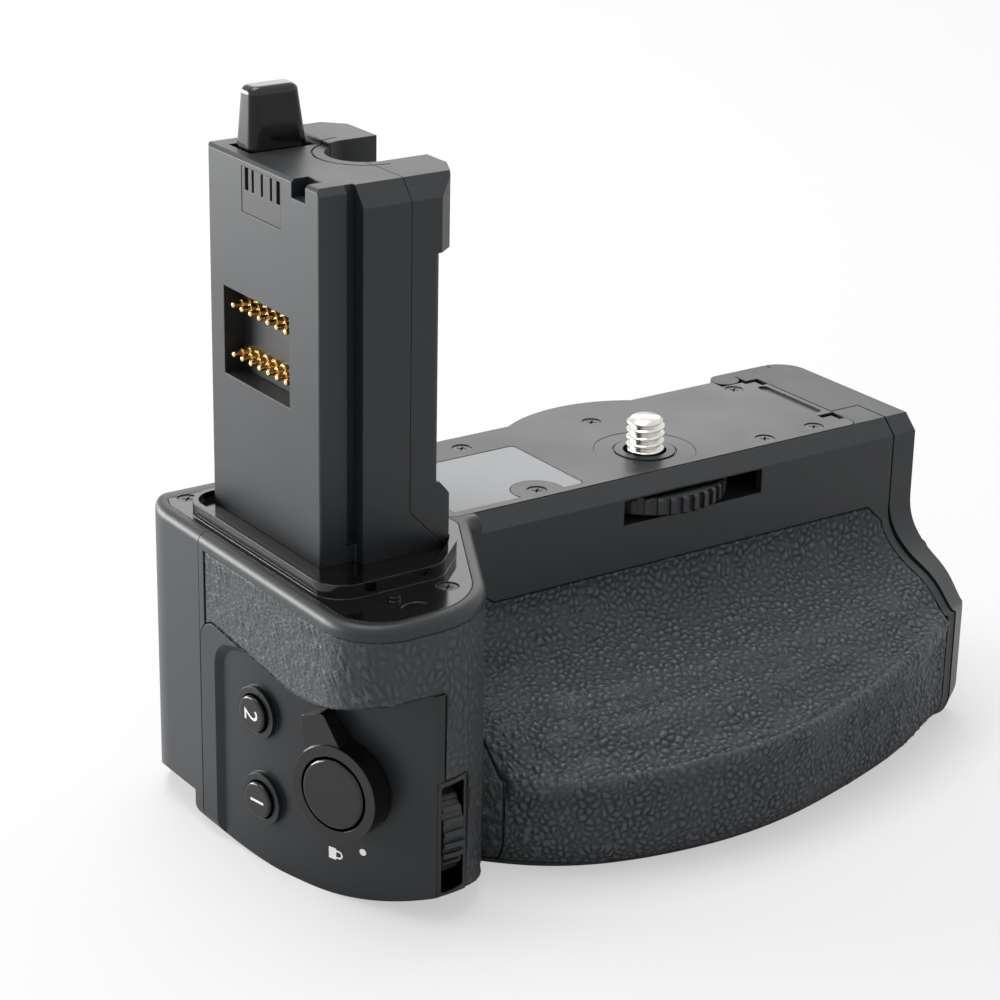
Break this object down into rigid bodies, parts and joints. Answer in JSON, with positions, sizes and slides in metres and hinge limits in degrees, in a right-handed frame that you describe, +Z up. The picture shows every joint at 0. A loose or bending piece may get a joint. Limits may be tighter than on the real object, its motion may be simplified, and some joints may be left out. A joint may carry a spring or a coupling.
{
  "type": "camera battery grip",
  "caption": "Vertical battery grip for a mirrorless camera, with an insert column, hand grip, shutter button, dials and a hinged battery door.",
  "frame": {"origin": "on the attachment screw's axis, in the plane of the seat plate that meets the camera's base", "axes": "+X towards the battery door, +Y towards the viewer, +Z up into the camera"},
  "size_m": [0.1306, 0.0768, 0.1163],
  "materials": {
    "satin_black": "satin",
    "gloss_black": "polished",
    "plate_black": "satin",
    "leather_rubber": "pebbled",
    "label_grey": "satin",
    "bright_nickel": "polished",
    "dark_steel": "blackened",
    "gold_plate": "gold plated",
    "spring_steel": "drawn wire",
    "board_green": "circuit board",
    "tray_grey": "moulded",
    "battery_grey": "satin",
    "seal_rubber": "matte"
  },
  "bodies": {
    "grip": {"front_casing": "satin_black", "rear_casing": "satin_black", "bottom_cover": "plate_black", "bottom_screws": "dark_steel", "tripod_socket": "dark_steel", "grip_skin_end": "leather_rubber", "grip_skin_front": "leather_rubber", "seat_plate": "plate_black", "seat_plate_screws": "dark_steel", "seat_disc": "plate_black", "label_plate": "label_grey", "insert_cover": "gloss_black", "insert_cover_screws": "dark_steel", "column_casing": "satin_black", "column_cover": "satin_black", "guide_lug": "gloss_black", "pin_carrier": "satin_black", "pin_sleeves": "gold_plate", "terminal_block": "satin_black", "terminal_contacts": "gold_plate", "control_panel": "satin_black", "control_board": "board_green", "shutter_spring": "spring_steel", "shutter_switch": "board_green", "front_dial_axle": "dark_steel", "front_dial_housing": "gloss_black", "rear_dial_axle": "dark_steel", "rear_dial_bracket": "satin_black", "rear_board": "board_green", "stick_base": "satin_black", "main_board": "board_green", "battery_chamber": "tray_grey", "battery_terminals": "gold_plate", "door_hinge_pin": "dark_steel"},
    "screw_wheel": {"attachment_wheel": "satin_black", "attachment_screw": "bright_nickel"},
    "pins": {"contact_pins": "gold_plate"},
    "shutter": {"shutter_button": "gloss_black"},
    "lock": {"lock_lever": "gloss_black"},
    "custom_lower": {"custom_button_lower": "gloss_black"},
    "custom_upper": {"custom_button_upper": "gloss_black"},
    "dial_front": {"front_dial": "satin_black"},
    "dial_rear": {"rear_dial": "satin_black"},
    "rear_upper": {"rear_button_upper": "gloss_black"},
    "rear_lower": {"rear_button_lower": "gloss_black"},
    "gimbal": {"stick_gimbal": "satin_black"},
    "stick": {"thumb_stick": "satin_black"},
    "door": {"battery_door": "satin_black", "door_gasket": "seal_rubber"},
    "latch": {"door_latch": "satin_black"},
    "tray": {"battery_tray": "tray_grey", "battery_inner": "battery_grey", "battery_outer": "battery_grey"}
  },
  "joints": [
    {"name": "attachment_wheel_spin", "type": "hinge", "parent": "grip", "child": "screw_wheel", "pos_m": [0, 0, -0.005], "axis": [0, 0, 1], "continuous": true},
    {"name": "contact_pins_press", "type": "slide", "parent": "grip", "child": "pins", "axis": [1, 0, 0], "range_m": [0, 0.001], "stiffness_N_per_m": 900},
    {"name": "shutter_press", "type": "slide", "parent": "grip", "child": "shutter", "axis": [0.9321, 0.3622, 0], "range_m": [0, 0.0012], "stiffness_N_per_m": 500, "deforming": ["shutter_spring"]},
    {"name": "lock_lever_turn", "type": "hinge", "parent": "grip", "child": "lock", "pos_m": [-0.07289, -0.026, -0.0303], "axis": [0.9321, 0.3622, 0], "range_deg": [0, 28]},
    {"name": "custom_lower_press", "type": "slide", "parent": "grip", "child": "custom_lower", "axis": [0.9841, 0.1778, 0], "range_m": [0, 0.0007], "stiffness_N_per_m": 600},
    {"name": "custom_upper_press", "type": "slide", "parent": "grip", "child": "custom_upper", "axis": [0.9862, 0.1656, 0], "range_m": [0, 0.0007], "stiffness_N_per_m": 600},
    {"name": "front_dial_spin", "type": "hinge", "parent": "grip", "child": "dial_front", "pos_m": [-0.0631, -0.0316, -0.0358], "axis": [1, 0, 0], "continuous": true},
    {"name": "rear_dial_spin", "type": "hinge", "parent": "grip", "child": "dial_rear", "pos_m": [-0.0687, 0.0214, -0.0154], "axis": [1, 0, 0], "continuous": true},
    {"name": "rear_upper_press", "type": "slide", "parent": "grip", "child": "rear_upper", "axis": [0, -1, 0], "range_m": [0, 0.0006], "stiffness_N_per_m": 600},
    {"name": "rear_lower_press", "type": "slide", "parent": "grip", "child": "rear_lower", "axis": [0, -1, 0], "range_m": [0, 0.0006], "stiffness_N_per_m": 600},
    {"name": "stick_tilt_up_down", "type": "hinge", "parent": "grip", "child": "gimbal", "pos_m": [-0.06, 0.0238, -0.034], "axis": [1, 0, 0], "range_deg": [-8, 8], "stiffness_Nm_per_rad": 0.03},
    {"name": "stick_tilt_sideways", "type": "hinge", "parent": "gimbal", "child": "stick", "pos_m": [-0.06, 0.0238, -0.034], "axis": [0, 0, 1], "range_deg": [-8, 8], "stiffness_Nm_per_rad": 0.03},
    {"name": "door_swing", "type": "hinge", "parent": "grip", "child": "door", "pos_m": [0.0335, 0.0209, -0.025], "axis": [0, 0, 1], "range_deg": [0, 100]},
    {"name": "door_latch_slide", "type": "slide", "parent": "door", "child": "latch", "axis": [0, 0, -1], "range_m": [0, 0.003], "stiffness_N_per_m": 300},
    {"name": "tray_slide", "type": "slide", "parent": "grip", "child": "tray", "axis": [1, 0, 0], "range_m": [0, 0.0087]}
  ],
  "couplings": [
    {"joint": "door_swing", "follows": "tray_slide", "rad_per_m": 200}
  ]
}
